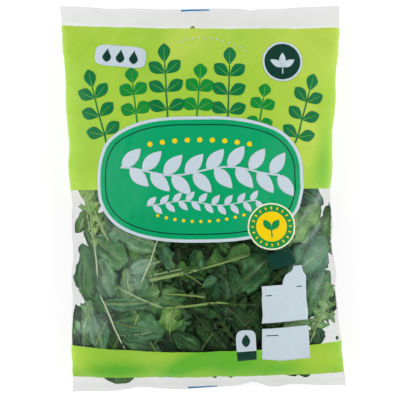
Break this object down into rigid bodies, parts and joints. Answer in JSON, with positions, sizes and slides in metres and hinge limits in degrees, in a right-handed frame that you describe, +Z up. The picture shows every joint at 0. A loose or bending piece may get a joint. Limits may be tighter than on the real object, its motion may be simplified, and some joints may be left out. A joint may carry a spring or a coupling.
{
  "type": "bag of salad leaves",
  "caption": "Sealed pillow bag of baby salad leaves in clear, part printed film, lying on its back with flat seal fins at both ends.",
  "frame": {"origin": "middle of the bag's footprint, on the surface it lies on", "axes": "+Z up out of the printed front face, +Y along the bag towards its top seal, +X across the bag to the right as its front is seen"},
  "size_m": [0.212, 0.2906, 0.0511],
  "materials": {
    "filled_film": "thin glossy packing film over green leaves"
  },
  "bodies": {
    "root": {"salad_bag": "filled_film"}
  },
  "joints": []
}
